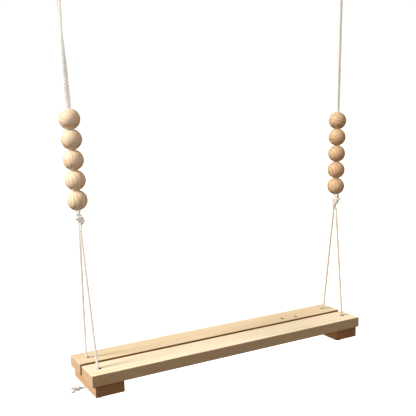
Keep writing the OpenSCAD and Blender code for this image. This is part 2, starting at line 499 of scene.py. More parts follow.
stoppers = {
    "leftfront": {"turn": 250, "height": -1.3315, "end": [(0.001, 0.006, -0.001), (0.002, 0.015, -0.001)]},
    "leftrear": {"turn": 20, "height": -1.3315,
                 "end": [(-0.005, 0, -0.001), (-0.010, -0.0005, -0.001), (-0.015, -0.001, -0.0005)]},
    "rightfront": {"turn": 285, "height": -1.3315, "end": [(0, 0.006, -0.001), (-0.002, 0.014, -0.001)]},
    "rightrear": {"turn": 290, "height": -1.3315, "end": [(0.004, 0.002, -0.003), (0.011, 0.003, -0.006)]},
}
profile = ropeOutline()
cords, knotPieces = {}, []
for side in sides:
    line, ends = wholeRope(side)
    heads, sideA, sideB = framesAlong(line, (1, 0, 0))
    lengths = np.concatenate([[0], np.cumsum(np.linalg.norm(np.diff(line, axis=0), axis=1))])
    twist = 2 * math.pi * lengths / rope["lay"]

    def nearest(point, low=0, high=None):
        part = line[low:high]
        return low + int(np.argmin(np.linalg.norm(part - point, axis=1)))

    half = nearest(np.array(onRope(side, swing["thimbleDrop"]) @ Vector((0, 0, 0.016))))
    cuts = {
        "legfrontLow": nearest(ends["legfront"][0], 0, half),
        "legfrontHigh": nearest(ends["knotfront"][0], 0, half),
        "upperLow": nearest(ends["knotfront"][1], 0, half),
        "upperHigh": nearest(ends["knotrear"][0], half),
        "legrearHigh": nearest(ends["knotrear"][1], half),
        "legrearLow": nearest(ends["legrear"][1], half),
    }

    def part(low, high, widths=None):
        span = slice(low, high + 1)
        return skinAlong(line[span], sideA[span], sideB[span], profile, twist[span], lengths[span], widths)

    def meltedEnd(count, atStart):
        # the last few rings close in, as a heat-sealed end does
        widths = np.ones(count)
        taper = np.array([0.55, 0.86, 0.97])
        if atStart:
            widths[:3] = taper
        else:
            widths[-3:] = taper[::-1]
        return widths

    spans = {"front": ("FrontLeg", cuts["legfrontLow"], cuts["legfrontHigh"]),
             "rear": ("RearLeg", cuts["legrearHigh"], cuts["legrearLow"]),
             "Upper": ("UpperRope", cuts["upperLow"], cuts["upperHigh"])}
    for what, (ending, low, high) in spans.items():
        piece = joinSkins(side + ending, [part(low, high)])
        if what == "Upper":
            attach(piece, "hanging_ropes")
            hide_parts(side + "_upper_rope")
        else:
            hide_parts(side + "_" + what + "_leg_rope")
        cords[side + what] = piece
    gather = joinSkins(side + "GatherKnot", [part(cuts["legfrontHigh"], cuts["upperLow"]),
                                             part(cuts["upperHigh"], cuts["legrearHigh"])])
    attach(gather, "hanging_ropes")
    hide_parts(side + "_gather_knot")
    knotPieces.append(gather)
    for row, low, high in (("front", 0, cuts["legfrontLow"]), ("rear", cuts["legrearLow"], len(line) - 1)):
        widths = None if side + row == "leftrear" else meltedEnd(high - low + 1, row == "front")
        stopper = joinSkins(f"{side}{row.capitalize()}StopperKnot", [part(low, high, widths)])
        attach(stopper, "seat")
        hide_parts(f"{side}_{row}_stopper_knot")
        knotPieces.append(stopper)
    if side == "left":
        tailStart, tailHead = line[-1].copy(), heads[-1].copy()
        tailA, tailB, tailTwist = sideA[-1].copy(), sideB[-1].copy(), float(twist[-1])


# The left rear end has come unlaid: three wavy strands with loose fibres at their tips
fray = {
    "strandRadius": 0.0029,
    "wave": 0.0046,
    "pitch": 0.015,
    "lengths": (0.035, 0.030, 0.037),
    "spread": ((0.0, -0.003, 0.011), (0.0, 0.007, 0.002), (0.0, -0.006, -0.004)),
    "fibres": 12,
    "fibreRadius": 0.00024,
}
loose = np.random.default_rng(7)
skins = []
for number in range(3):
    angle = tailTwist + 2 * math.pi * number / 3
    total = fray["lengths"][number]
    count = int(total / 0.0011)
    t = np.linspace(0, 1, count)
    outward = np.array([-1.0, -0.08, 0.04])
    middle = tailStart + np.outer(t * total, outward) + np.outer(t ** 1.5, np.array(fray["spread"][number]))
    phase = angle + 2 * math.pi * t * total / fray["pitch"]
    swell = np.sin(np.pi * np.minimum(t * 1.3, 1)) ** 2
    radius = rope["helixRadius"] + (fray["wave"] - rope["helixRadius"]) * swell
    strandLine = (middle + (radius * np.cos(phase))[:, None] * tailA
                  + (radius * np.sin(phase))[:, None] * tailB)
    strandLine[:, 2] -= 0.004 * t ** 2
    strandHeads, strandA, strandB = framesAlong(strandLine, tailA)
    lengths = np.concatenate([[0], np.cumsum(np.linalg.norm(np.diff(strandLine, axis=0), axis=1))])
    widths = 0.85 + 0.40 * t - 0.75 * np.clip((t - 0.86) / 0.14, 0, 1) ** 2
    skins.append(skinAlong(strandLine, strandA, strandB, roundOutline(fray["strandRadius"], 12),
                           lengths * 500, lengths, widths))
    for fibre in range(fray["fibres"]):
        start = int(count * (0.80 + 0.19 * loose.random()))
        aim = strandHeads[start] + 0.45 * loose.normal(size=3)
        aim /= np.linalg.norm(aim)
        around = loose.random() * 2 * math.pi
        root = strandLine[start] + 0.0012 * (
            math.cos(around) * strandA[start] + math.sin(around) * strandB[start])
        reach = 0.003 + 0.004 * loose.random()
        u = np.linspace(0, 1, 8)
        bend = 0.3 * reach * loose.normal(size=3)
        fibreLine = (root + np.outer(u * reach, aim) + np.outer(u ** 2, bend)
                     - np.outer(0.002 * u ** 2, [0, 0, 1]))
        fibreHeads, fibreA, fibreB = framesAlong(fibreLine, (0.3, 0.8, 0.5))
        skins.append(skinAlong(fibreLine, fibreA, fibreB, roundOutline(fray["fibreRadius"], 4), u * 0,
                               u * reach, 1 - 0.6 * u))
frayedEnd = joinSkins("leftRearFrayedEnd", skins)
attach(frayedEnd, "seat")
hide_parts("left_rear_rope_tail")
knotPieces.append(frayedEnd)
# The legs' places are baked into their meshes
for side in sides:
    for row in rows:
        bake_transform(cords[side + row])
print("ropes and knots laid")


# Materials

def newMaterial(name, roughness=0.6):
    material = bpy.data.materials.new(name)
    material.use_nodes = True
    shader = material.node_tree.nodes["Principled BSDF"]
    shader.inputs["Roughness"].default_value = roughness
    return material, material.node_tree, shader


def rampNode(tree, stops):
    ramp = tree.nodes.new("ShaderNodeValToRGB")
    while len(ramp.color_ramp.elements) < len(stops):
        ramp.color_ramp.elements.new(0.5)
    for element, (position, color) in zip(ramp.color_ramp.elements, stops):
        element.position = position
        element.color = (*color, 1)
    return ramp


def mathNode(tree, operation, a, b=None, clamp=False):
    node = tree.nodes.new("ShaderNodeMath")
    node.operation = operation
    node.use_clamp = clamp
    for socket, value in zip(node.inputs, (a, b)):
        if value is None:
            continue
        if isinstance(value, (int, float)):
            socket.default_value = value
        else:
            tree.links.new(value, socket)
    return node.outputs[0]


def times(tree, a, b, clamp=False):
    return mathNode(tree, "MULTIPLY", a, b, clamp)


def plus(tree, a, b):
    return mathNode(tree, "ADD", a, b)


def mixColor(tree, mode, amount, a, b):
    node = tree.nodes.new("ShaderNodeMix")
    node.data_type = "RGBA"
    node.blend_type = mode
    for socket, value in ((node.inputs[0], amount), (node.inputs[6], a), (node.inputs[7], b)):
        if isinstance(value, (int, float)):
            socket.default_value = value
        elif isinstance(value, tuple):
            socket.default_value = (*value, 1)
        else:
            tree.links.new(value, socket)
    return node.outputs[2]


def noiseNode(tree, vector, scale, detail=3, roughness=0.5):
    node = tree.nodes.new("ShaderNodeTexNoise")
    node.inputs["Scale"].default_value = scale
    node.inputs["Detail"].default_value = detail
    node.inputs["Roughness"].default_value = roughness
    tree.links.new(vector, node.inputs["Vector"])
    return node.outputs["Fac"]


def addBump(tree, shader, height, strength, distance):
    bump = tree.nodes.new("ShaderNodeBump")
    bump.inputs["Strength"].default_value = strength
    bump.inputs["Distance"].default_value = distance
    tree.links.new(height, bump.inputs["Height"])
    tree.links.new(bump.outputs[0], shader.inputs["Normal"])


def scaled(tree, vector, factors):
    node = tree.nodes.new("ShaderNodeVectorMath")
    node.operation = "MULTIPLY"
    tree.links.new(vector, node.inputs[0])
    node.inputs[1].default_value = factors
    return node.outputs[0]


pine = {
    "early": (0.86, 0.72, 0.51),
    "late": (0.80, 0.62, 0.41),
    "ring": 0.0052,
    "knot": (0.075, 0.03, 0.012),
}


def pineMaterial(name, early, late, ring, knots=(), fibre=0.18):
    # grain runs along x of the piece's "grain" attribute, round a pith at y = z = 0
    material, tree, shader = newMaterial(name, 0.55)
    grain = tree.nodes.new("ShaderNodeAttribute")
    grain.attribute_name = "grain"
    vector = grain.outputs["Vector"]
    split = tree.nodes.new("ShaderNodeSeparateXYZ")
    tree.links.new(vector, split.inputs[0])
    x, y, z = split.outputs
    wander = noiseNode(tree, scaled(tree, vector, (1.6, 14, 14)), 1.0, 2)
    ripple = noiseNode(tree, scaled(tree, vector, (9, 60, 60)), 1.0, 2)
    square = plus(tree, times(tree, y, y),
                      times(tree, z, z))
    radius = mathNode(tree, "SQRT", square)
    radius = plus(tree, radius, times(tree, wander, 0.016))
    radius = plus(tree, radius, times(tree, ripple, 0.0012))
    knotMask = None
    for kx, ky, size in knots:
        dx = mathNode(tree, "SUBTRACT", x, kx)
        dy = mathNode(tree, "SUBTRACT", y, ky)
        far = mathNode(tree, "SQRT", plus(tree, times(tree, times(tree, dx, dx), 1.2),
            times(tree, dy, dy)))
        push = mathNode(tree, "POWER", 2.718, times(tree, far, -1 / (size * 1.8)))
        radius = plus(tree, radius, times(tree, push, ring * 2.2))
        rough = plus(tree, far, times(tree, ripple, size * 0.5))
        spot = tree.nodes.new("ShaderNodeMapRange")
        spot.interpolation_type = "SMOOTHSTEP"
        tree.links.new(rough, spot.inputs[0])
        spot.inputs[1].default_value = size * 0.85
        spot.inputs[2].default_value = size * 1.55
        spot.inputs[3].default_value = 1
        spot.inputs[4].default_value = 0
        knotMask = spot.outputs[0] if knotMask is None else mathNode(
            tree, "MAXIMUM", knotMask, spot.outputs[0])
    phase = mathNode(tree, "FRACT", mathNode(tree, "DIVIDE", radius, ring))
    band = rampNode(tree, [(place, (tone,) * 3) for place, tone in (
        (0.0, 0), (0.45, 0.12), (0.82, 1), (0.94, 0.9), (1.0, 0))])
    tree.links.new(phase, band.inputs[0])
    uneven = noiseNode(tree, scaled(tree, vector, (2.5, 40, 40)), 1.0, 3)
    strength = times(tree, band.outputs[0], times(tree, uneven, 1.25), True)
    color = mixColor(tree, "MIX", strength, early, late)
    fibres = noiseNode(tree, scaled(tree, vector, (18, 1500, 1500)), 1.0, 3, 0.6)
    fibreTone = rampNode(tree, [(0.3, (1 - fibre,) * 3), (0.7, (1 + fibre * 0.25,) * 3)])
    tree.links.new(fibres, fibreTone.inputs[0])
    color = mixColor(tree, "MULTIPLY", 1.0, color, fibreTone.outputs[0])
    blotch = noiseNode(tree, scaled(tree, vector, (5, 16, 16)), 1.0, 3)
    blotchTone = rampNode(tree, [(0.3, (1.0, 0.93, 0.84)), (0.5, (1.0, 1.0, 1.0)), (0.7, (1.03, 0.95, 0.93))])
    tree.links.new(blotch, blotchTone.inputs[0])
    color = mixColor(tree, "MULTIPLY", 1.0, color, blotchTone.outputs[0])
    if knotMask is not None:
        color = mixColor(tree, "MIX", knotMask, color, pine["knot"])
    tree.links.new(color, shader.inputs["Base Color"])
    height = plus(tree, fibres, times(tree, band.outputs[0], 0.5))
    addBump(tree, shader, height, 0.35, 0.0004)
    return material


def ropeMaterial(name, color, shade):
    # yarns run slantwise in each strand, by the rope's own length and girth
    material, tree, shader = newMaterial(name, 0.85)
    place = tree.nodes.new("ShaderNodeUVMap")
    place.uv_map = "alongRope"
    split = tree.nodes.new("ShaderNodeSeparateXYZ")
    tree.links.new(place.outputs[0], split.inputs[0])
    along, round_ = split.outputs[0], split.outputs[1]
    yarn = plus(tree, times(tree, along, 380.0),
                    times(tree, round_, 7.0))
    stripe = mathNode(tree, "ABSOLUTE", mathNode(tree, "SUBTRACT", mathNode(
        tree, "FRACT", yarn), 0.5))
    # painted shade: the valleys between the strands are mixed towards the shade colour, as shade in the
    # creases
    lobePlace = mathNode(tree, "FRACT", round_)
    creaseShadeAmount = times(tree, mathNode(tree, "ABSOLUTE", mathNode(
        tree, "SUBTRACT", lobePlace, 0.46)), 2.0, True)
    deep = rampNode(tree, [(0.55, (0, 0, 0)), (1.0, (1, 1, 1))])
    tree.links.new(creaseShadeAmount, deep.inputs[0])
    objectPlace = tree.nodes.new("ShaderNodeTexCoord")
    dust = noiseNode(tree, objectPlace.outputs["Object"], 55, 4)
    dustTone = rampNode(tree, [(0.35, (0.93, 0.91, 0.87)), (0.65, (1.02, 1.02, 1.02))])
    tree.links.new(dust, dustTone.inputs[0])
    base = mixColor(tree, "MIX", deep.outputs[0], color, shade)
    base = mixColor(tree, "MULTIPLY", 1.0, base, dustTone.outputs[0])
    # painted light and shade: the rope above the beads is painted brighter, the legs darker, the right legs
    # darkest
    heightSplit = tree.nodes.new("ShaderNodeSeparateXYZ")
    tree.links.new(objectPlace.outputs["Object"], heightSplit.inputs[0])
    upwards = times(tree, plus(tree, heightSplit.outputs[2], 0.92), 5.0, True)
    rightwards = times(tree, plus(tree, heightSplit.outputs[0], 0.1), 5.0, True)
    paintedLegShade = mixColor(tree, "MIX", rightwards, (0.84, 0.83, 0.83), (0.64, 0.57, 0.48))
    paintedRopeLight = mixColor(tree, "MIX", upwards, paintedLegShade, (1.06, 1.06, 1.05))
    base = mixColor(tree, "MULTIPLY", 1.0, base, paintedRopeLight)
    tree.links.new(base, shader.inputs["Base Color"])
    shader.inputs["Sheen Weight"].default_value = 0.35
    shader.inputs["Subsurface Weight"].default_value = 0.45
    shader.inputs["Subsurface Scale"].default_value = 0.004
    shader.inputs["Subsurface Radius"].default_value = (1.0, 0.97, 0.92)
    addBump(tree, shader, stripe, 0.6, 0.0003)
    return material


def steelMaterial(name, color, roughness):
    material, tree, shader = newMaterial(name, roughness)
    shader.inputs["Metallic"].default_value = 1.0
    coordinates = tree.nodes.new("ShaderNodeTexCoord")
    spangle = noiseNode(tree, coordinates.outputs["Object"], 320, 2)
    tone = rampNode(tree, [(0.3, tuple(0.82 * c for c in color)), (0.7, color)])
    tree.links.new(spangle, tone.inputs[0])
    tree.links.new(tone.outputs[0], shader.inputs["Base Color"])
    rough = rampNode(tree, [(0.3, (roughness - 0.08,) * 3), (0.7, (roughness + 0.12,) * 3)])
    tree.links.new(spangle, rough.inputs[0])
    tree.links.new(rough.outputs[0], shader.inputs["Roughness"])
    addBump(tree, shader, spangle, 0.15, 0.0002)
    return material


def grainAttribute(piece, matrix):
    # keeps each point's place in the wood, along x and round the pith
    mesh = piece.data
    layer = mesh.attributes.get("grain") or mesh.attributes.new("grain", "FLOAT_VECTOR", "POINT")
    values = [matrix @ v.co for v in mesh.vertices]
    layer.data.foreach_set("vector", np.array(values, np.float32).ravel())


def dress(piece, material):
    piece.data.materials.clear()
    piece.data.materials.append(material)


ropeWhite = ropeMaterial("ropeWhite", (0.90, 0.895, 0.88), (0.72, 0.705, 0.685))
zinc = steelMaterial("zincSteel", (0.72, 0.73, 0.75), 0.32)
for piece in [*cords.values(), *knotPieces]:
    dress(piece, ropeWhite)
print("materials ready")


# Planks and battens

board = {
    "round": 0.0013,
    "roundSteps": 3,
    "hole": 0.016,
}


screw = {
    "head": 0.010,
    "deep": 0.0034,
    "shank": 0.005,
    "long": 0.060,
    "sunk": 0.0005,
    "recess": 0.0011,
    "countersink": 0.0106,
    "countersinkDeep": 0.0038,
    "inset": 0.020,
    "spread": 0.050,
}


def cutWith(piece, cutter):
    cut = piece.modifiers.new("cut", "BOOLEAN")
    cut.operation = "DIFFERENCE"
    cut.solver = "EXACT"
    cut.object = cutter
    applyAll(piece)
    bpy.data.objects.remove(cutter, do_unlink=True)


def drill(piece, x, y, low, high, diameter, countersink=0.0):
    # a through hole, or with countersink a cone that narrows upwards from low
    deselectAll()
    if countersink:
        bpy.ops.mesh.primitive_cone_add(
            vertices=40, radius1=diameter / 2 + 0.001, radius2=diameter / 2 - countersink + 0.001,
            depth=countersink + 0.001, location=(x, y, low + countersink / 2 - 0.0005))
    else:
        bpy.ops.mesh.primitive_cylinder_add(vertices=48, radius=diameter / 2, depth=high - low + 0.02,
                                            location=(x, y, (low + high) / 2))
    cutWith(piece, bpy.context.object)


# the walls of the rope holes get a very dark wood: painted shade inside the holes, over their darker end
# grain
holeShadeWood, tree, shader = newMaterial("holeShadeWood", 0.8)
holeShadePlace = tree.nodes.new("ShaderNodeTexCoord")
holeShadeRamp = rampNode(tree, [(0.3, (0.10, 0.045, 0.018)), (0.7, (0.20, 0.10, 0.045))])
tree.links.new(noiseNode(tree, holeShadePlace.outputs["Object"], 700, 3), holeShadeRamp.inputs[0])
tree.links.new(holeShadeRamp.outputs[0], shader.inputs["Base Color"])


def makeBoard(name, node, holes, pith, along, sinks=()):
    low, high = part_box(node)
    middle = (low + high) / 2
    deselectAll()
    bpy.ops.mesh.primitive_cube_add(size=1, location=middle, scale=tuple(high - low))
    piece = bpy.context.object
    piece.name = name
    bpy.ops.object.transform_apply(location=True, rotation=True, scale=True)
    editMode(piece, "EDGE", "SELECT")
    bpy.ops.mesh.bevel(offset=board["round"], segments=board["roundSteps"], affect="EDGES")
    bpy.ops.object.mode_set(mode="OBJECT")
    for x, y in holes:
        drill(piece, x, y, low.z, high.z, board["hole"])
    for x, y in sinks:
        deep = screw["countersinkDeep"]
        drill(piece, x, y, low.z, low.z + deep, screw["countersink"], deep)
    smooth(piece, 30)
    for face in piece.data.polygons:
        if max(abs(c) for c in face.normal) > 0.999:
            face.use_smooth = False
    turned = Matrix.Rotation(-math.pi / 2, 4, "Z") if along == "y" else Matrix.Identity(4)
    grainAttribute(piece, Matrix.Translation(pith) @ turned @ Matrix.Translation(-middle))
    return piece


def screwPlaces(sign):
    x = sign * (swing["battenMiddle"] - screw["inset"])
    return [(x, row * swing["plankMiddle"] + across * screw["spread"] / 2)
            for row in (-1, 1) for across in (-1, 1)]


holeX, holeY = swing["holeX"], swing["holeY"]
pineRear = pineMaterial("pineRear", pine["early"], pine["late"], pine["ring"],
                        knots=[(0.263, 0.0005, 0.0068), (0.318, -0.0065, 0.0066)])
pineFront = pineMaterial("pineFront", (1.0, 0.90, 0.71), (0.90, 0.74, 0.52), pine["ring"])
pineEnd = pineMaterial("pineEnd", (0.69, 0.50, 0.34), (0.52, 0.34, 0.21), pine["ring"])
# the planks' sides facing each other across the gap get a darker copy of the pine: painted shade between the
# planks
pineGapShade = pineMaterial("pineGapShade", (0.50, 0.29, 0.12), (0.36, 0.19, 0.07), pine["ring"])
# the battens get a darker pine: partly their darker end grain, partly painted shade under the seat
pineBattenEndGrainAndShade = pineMaterial("pineBattenEndGrainAndShade", (0.66, 0.44, 0.27), (0.50, 0.30, 0.16), pine["ring"])
boards = {
    "frontPlank": ("front_plank", [(-holeX, -holeY), (holeX, -holeY)], (2.1, 0.024, -0.072), "x", pineFront),
    "rearPlank": ("rear_plank", [(-holeX, holeY), (holeX, holeY)], (0.0, 0.02, -0.075), "x", pineRear),
    "leftBatten": ("left_batten", [(-holeX, -holeY), (-holeX, holeY)], (2.2, 0.05, -0.05), "y", pineBattenEndGrainAndShade),
    "rightBatten": ("right_batten", [(holeX, -holeY), (holeX, holeY)], (3.4, -0.04, -0.07), "y", pineBattenEndGrainAndShade),
}
for name, (node, holes, pith, along, material) in boards.items():
    sinks = []
    if along == "y":
        sign = 1 if holes[0][0] > 0 else -1
        sinks = screwPlaces(sign)
    piece = makeBoard(name, node, holes, pith, along, sinks)
    dress(piece, material)
    for other in (holeShadeWood, pineEnd, pineGapShade):
        piece.data.materials.append(other)
    for face in piece.data.polygons:
        middle = face.center
        near = min(math.hypot(middle.x - x, middle.y - y) for x, y in holes)
        # the walls of the rope holes take the painted hole shade
        if near < board["hole"] / 2 + 1e-4 and abs(face.normal.z) < 0.3:
            face.material_index = 1
        elif along == "x" and abs(face.normal.x) > 0.9:
            face.material_index = 2
        # the planks' sides facing each other across the gap take the painted gap shade
        elif along == "x" and abs(face.normal.y) > 0.9 and abs(middle.y) < 0.02:
            face.material_index = 3
    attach(piece, "seat")
    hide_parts(node)
print("seat made")


# Beads

bead = {
    "diameter": 0.061,
    "bore": 0.018,
    "rim": 0.0013,
    "steps": 72,
}


def turnBead():
    deselectAll()
    bpy.ops.mesh.primitive_circle_add(vertices=96, radius=bead["diameter"] / 2, rotation=(math.pi / 2, 0, 0))
    made = bpy.context.object
    bpy.ops.object.transform_apply(rotation=True)
    editMode(made, start="SELECT")
    bpy.ops.mesh.bisect(plane_co=(bead["bore"] / 2, 0, 0), plane_no=(1, 0, 0), clear_inner=True)
    limit = bead["bore"] / 2 + 1e-5
    selectWhere(made, "vertices", lambda p: p.x < limit)
    bpy.ops.mesh.edge_face_add()
    bpy.ops.mesh.bevel(offset=bead["rim"], segments=4, affect="VERTICES")
    bpy.ops.mesh.select_all(action="SELECT")
    bpy.ops.mesh.spin(steps=bead["steps"], angle=2 * math.pi, center=(0, 0, 0), axis=(0, 0, 1))
    bpy.ops.mesh.select_all(action="SELECT")
    bpy.ops.mesh.remove_doubles(threshold=1e-5)
    bpy.ops.mesh.normals_make_consistent(inside=False)
    bpy.ops.object.mode_set(mode="OBJECT")
    smooth(made, 50)
    return made


beadPale = pineMaterial("beadPale", (0.95, 0.79, 0.59), (0.66, 0.46, 0.31), 0.0085, fibre=0.3)
beadTan = pineMaterial("beadTan", (0.67, 0.48, 0.29), (0.38, 0.23, 0.11), 0.0085, fibre=0.3)
pattern = turnBead()
firstDrop = {"left": 0.684, "right": 0.715}
for side, sign in sides.items():
    for count in range(5):
        name = f"{side}Bead{count + 1}"
        made = ownCopy(pattern, name)
        turn = 57.0 * count + 20 * sign
        log = Euler([math.radians(a) for a in (turn, 90 + 9 * (count % 3), turn / 2)]).to_matrix().to_4x4()
        grainAttribute(made, Matrix.Translation((count * 0.7 + sign, 0.021, 0.008 * (count % 3))) @ log)
        drop = swing["thimbleDrop"] + firstDrop[side] - swing["beadPitch"] * count
        place(made, onRope(side, drop))
        dress(made, beadPale if side == "left" else beadTan)
        body = f"{side}_bead_{count + 1}"
        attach(made, body)
        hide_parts(body)
bpy.data.objects.remove(pattern, do_unlink=True)
print("beads turned")


# Ceiling fittings, links and thimbles

steel = {
    "bar": 0.008,
    "barSides": 28,
    "bend": 0.014,
    "bendSteps": 28,
    "linkEnd": 0.012,
    "linkStraight": 0.016,
    "linkMiddle": -0.0117,
    "plateLong": 0.108,
    "plateWide": 0.044,
    "plateThick": 0.005,
    "boltHole": 0.007,
    "boltPlace": 0.036,
    "edge": 0.0007,
    "nutAcross": 0.013,
    "nutLong": 0.012,
    "threadPitch": 0.0011,
    "loop": 0.016,
    "groove": 0.0044,
    "shell": 0.0024,
}


def barHoop(name, bend, leg):
    # a half ring of bar under z = 0 with a straight leg up from each end
    deselectAll()
    bpy.ops.mesh.primitive_circle_add(
        vertices=steel["barSides"], radius=steel["bar"] / 2, location=(bend, 0, 0))
    made = bpy.context.object
    made.name = name
    bpy.ops.object.transform_apply(location=True)
    editMode(made, start="SELECT")
    bpy.ops.mesh.spin(steps=steel["bendSteps"], angle=math.pi, center=(0, 0, 0), axis=(0, 1, 0))
    bpy.ops.object.mode_set(mode="OBJECT")
    lowest = min(v.co.z for v in made.data.vertices)
    if lowest > -bend / 2:
        made.data.transform(Matrix.Scale(-1, 4, (0, 0, 1)))
    bpy.ops.object.mode_set(mode="EDIT")
    bpy.ops.mesh.select_all(action="DESELECT")
    selectWhere(made, "edges", lambda middle, way: abs(middle.z) < 1e-5 and abs(way.z) < 1e-3)
    bpy.ops.mesh.extrude_region_move(TRANSFORM_OT_translate={"value": (0, 0, leg)})
    bpy.ops.object.mode_set(mode="OBJECT")
    return made


def tidyNormals(piece, threshold=1e-5):
    editMode(piece, start="SELECT")
    bpy.ops.mesh.remove_doubles(threshold=threshold)
    bpy.ops.mesh.normals_make_consistent(inside=False)
    bpy.ops.object.mode_set(mode="OBJECT")


def joined(name, pieces):
    pick(pieces[0])
    for piece in pieces:
        piece.select_set(True)
    bpy.ops.object.join()
    made = bpy.context.object
    made.name = name
    return made


def weldRing(x, z):
    # a rippled bead of weld where a leg meets the plate
    deselectAll()
    bpy.ops.mesh.primitive_torus_add(
        major_segments=48, minor_segments=12, major_radius=steel["bar"] / 2 + 0.0006,
        minor_radius=0.0017, location=(x, 0, z))
    ring = bpy.context.object
    bpy.ops.object.transform_apply(location=True)
    for v in ring.data.vertices:
        around = math.atan2(v.co.y, v.co.x - x)
        v.co.z += 0.00035 * math.sin(17 * around) + 0.0002 * math.sin(5 * around + 1)
    return ring


def makeEye():
    hoop = barHoop("eye", steel["bend"], swing["barDrop"] - steel["bend"] - steel["plateThick"] + 0.001)
    hoop.data.transform(Matrix.Translation((0, 0, -swing["barDrop"] + steel["bend"])))
    tidyNormals(hoop)
    welds = [weldRing(sign * steel["bend"], -steel["plateThick"] - 0.0003) for sign in (-1, 1)]
    eye = joined("eye", [hoop] + welds)
    smooth(eye, 40)
    return eye


def makePlate():
    deselectAll()
    bpy.ops.mesh.primitive_cube_add(size=1, location=(0, 0, -steel["plateThick"] / 2),
                                    scale=(steel["plateWide"], steel["plateLong"], steel["plateThick"]))
    plate = bpy.context.object
    bpy.ops.object.transform_apply(location=True, scale=True)
    editMode(plate, "EDGE")
    selectWhere(plate, "edges", lambda middle, way: abs(way.z) > 0.9)
    bpy.ops.mesh.bevel(offset=steel["plateWide"] / 2 - 1e-5, segments=20, affect="EDGES")
    bpy.ops.object.mode_set(mode="OBJECT")
    tidyNormals(plate, 1e-4)
    bevel = plate.modifiers.new("edge", "BEVEL")
    bevel.width = steel["edge"]
    bevel.segments = 3
    bevel.limit_method = "ANGLE"
    bevel.angle_limit = math.radians(50)
    applyAll(plate)
    for way in (-1, 1):
        drill(plate, 0, way * steel["boltPlace"], -steel["plateThick"], 0, steel["boltHole"])
        deselectAll()
        bpy.ops.mesh.primitive_cone_add(vertices=48, radius1=0.0068, radius2=0.003, depth=0.004,
                                        location=(0, way * steel["boltPlace"], -steel["plateThick"] + 0.0015))
        cutWith(plate, bpy.context.object)
    smooth(plate, 30)
    return plate


def makeLink():
    lower = barHoop("link", steel["linkEnd"], steel["linkStraight"] / 2)
    lower.data.transform(Matrix.Translation((0, 0, -steel["linkStraight"] / 2)))
    mirror = lower.modifiers.new("upper", "MIRROR")
    mirror.use_axis = (False, False, True)
    mirror.merge_threshold = 1e-5
    applyAll(lower)
    tidyNormals(lower)
    # the threaded part shows just past the nut
    deselectAll()
    bpy.ops.mesh.primitive_circle_add(vertices=3, radius=steel["bar"] / 2, location=(0, 0, 0))
    thread = bpy.context.object
    editMode(thread, start="SELECT")
    bpy.ops.mesh.delete(type="ONLY_FACE")
    bpy.ops.object.mode_set(mode="OBJECT")
    crest, root, pitch = steel["bar"] / 2 + 0.00045, steel["bar"] / 2 - 0.00005, steel["threadPitch"]
    for v, (x, z) in zip(thread.data.vertices, ((root, 0), (crest, pitch / 2), (root, pitch))):
        v.co = (x, 0, z)
    editMode(thread, "EDGE")
    selectWhere(thread, "edges", lambda middle, way: abs(way.x) < 1e-3)
    bpy.ops.mesh.delete(type="EDGE")
    bpy.ops.object.mode_set(mode="OBJECT")
    wind = thread.modifiers.new("thread", "SCREW")
    wind.angle = 2 * math.pi
    wind.screw_offset = pitch
    wind.iterations = 3
    wind.steps = wind.render_steps = 28
    wind.use_merge_vertices = True
    applyAll(thread)
    thread.data.transform(Matrix.Translation((-steel["linkEnd"], 0, 0.0048)))
    tidyNormals(thread)
    link = joined("link", [lower, thread])
    smooth(link, 40)
    link.data.transform(Matrix.Rotation(math.pi / 2, 4, "Z"))
    link.data.transform(Matrix.Translation((0, 0, steel["linkMiddle"])))
    return link


def makeNut():
    deselectAll()
    bpy.ops.mesh.primitive_cylinder_add(
        vertices=6, radius=steel["nutAcross"] / math.sqrt(3), depth=steel["nutLong"])
    nut = bpy.context.object
    editMode(nut, "EDGE")
    selectWhere(nut, "edges", lambda middle, way: abs(way.z) < 0.5)
    bpy.ops.mesh.bevel(offset=0.0009, segments=3, affect="EDGES")
    bpy.ops.mesh.select_all(action="DESELECT")
    selectWhere(nut, "polygons", lambda middle, way: abs(way.z) > 0.99)
    bpy.ops.mesh.inset(thickness=0.0012)
    bpy.ops.object.mode_set(mode="OBJECT")
    smooth(nut, 30)
    nut.data.transform(Matrix.Translation((0, -steel["linkEnd"], steel["linkMiddle"])))
    return nut


def makeThimble():
    # a grooved shell turned round the loop's middle
    deselectAll()
    bpy.ops.mesh.primitive_circle_add(vertices=48, radius=steel["groove"], location=(steel["loop"], 0, 0))
    shell = bpy.context.object
    bpy.ops.object.transform_apply(location=True)
    editMode(shell, start="SELECT")
    bpy.ops.mesh.bisect(plane_co=(steel["loop"] - 0.0006, 0, 0), plane_no=(1, 0, 0), clear_outer=True)
    bpy.ops.mesh.select_all(action="SELECT")
    bpy.ops.mesh.spin(steps=64, angle=2 * math.pi, center=(0, 0, 0), axis=(0, 1, 0))
    bpy.ops.object.mode_set(mode="OBJECT")
    tidyNormals(shell)
    wall = shell.modifiers.new("wall", "SOLIDIFY")
    wall.thickness = steel["shell"]
    wall.offset = -1
    wall.use_rim = True
    lip = shell.modifiers.new("lip", "BEVEL")
    lip.width = 0.0006
    lip.segments = 3
    lip.limit_method = "ANGLE"
    lip.angle_limit = math.radians(40)
    applyAll(shell)
    tidyNormals(shell, 1e-6)
    smooth(shell, 40)
    return shell


